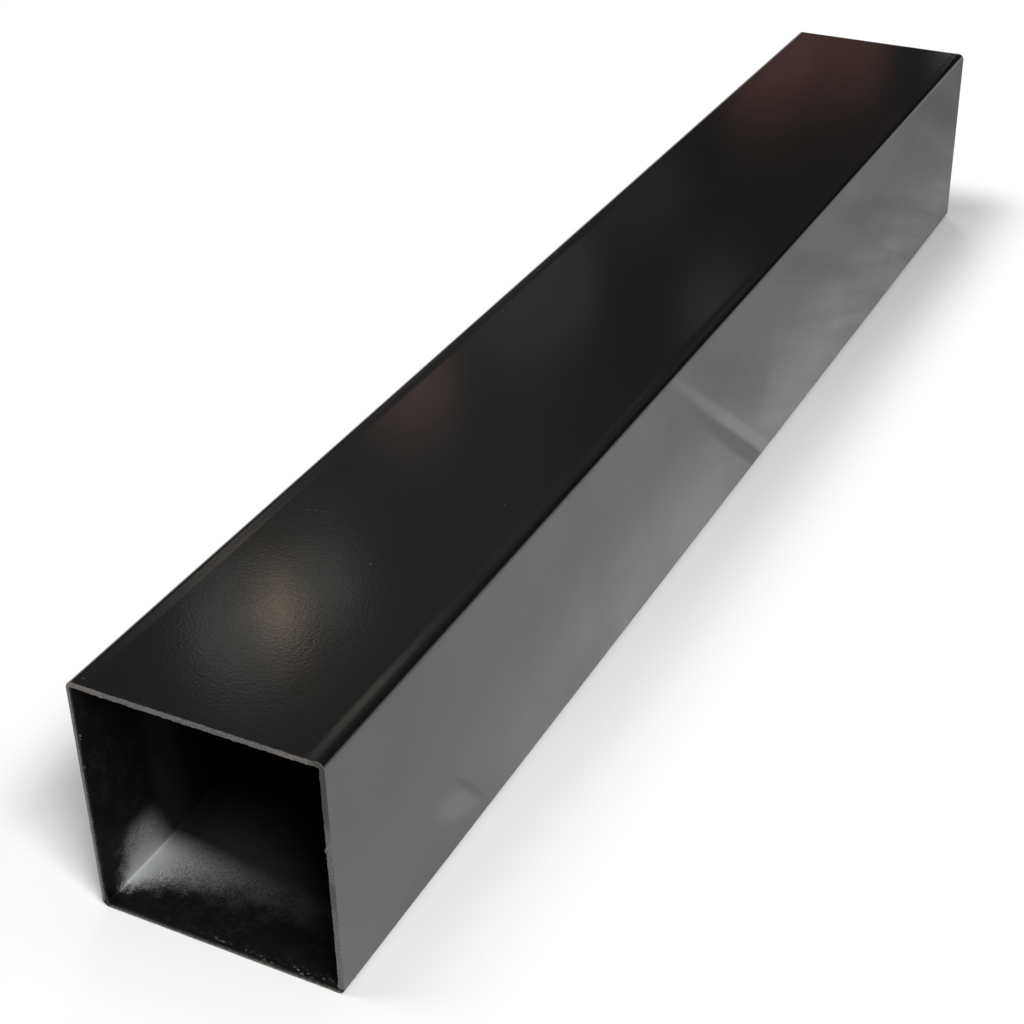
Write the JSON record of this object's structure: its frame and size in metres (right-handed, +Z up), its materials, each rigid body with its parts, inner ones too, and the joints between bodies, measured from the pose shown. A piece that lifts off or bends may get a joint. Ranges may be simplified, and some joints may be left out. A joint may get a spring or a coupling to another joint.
{
  "type": "square steel post",
  "caption": "Square hollow steel post, open and sawn square at both ends, with a satin black coat, for gates, railings and fence panels.",
  "frame": {"origin": "under the middle of the post, on the surface that it lies on", "axes": "+Y along the post, +Z up from the side that it lies on, +X across it towards the wall with the weld seam"},
  "size_m": [0.1, 0.7, 0.1],
  "materials": {
    "black_coat": "satin black coat with fine orange peel, bare steel at the sawn ends"
  },
  "bodies": {
    "root": {"post_tube": "black_coat"}
  },
  "joints": []
}
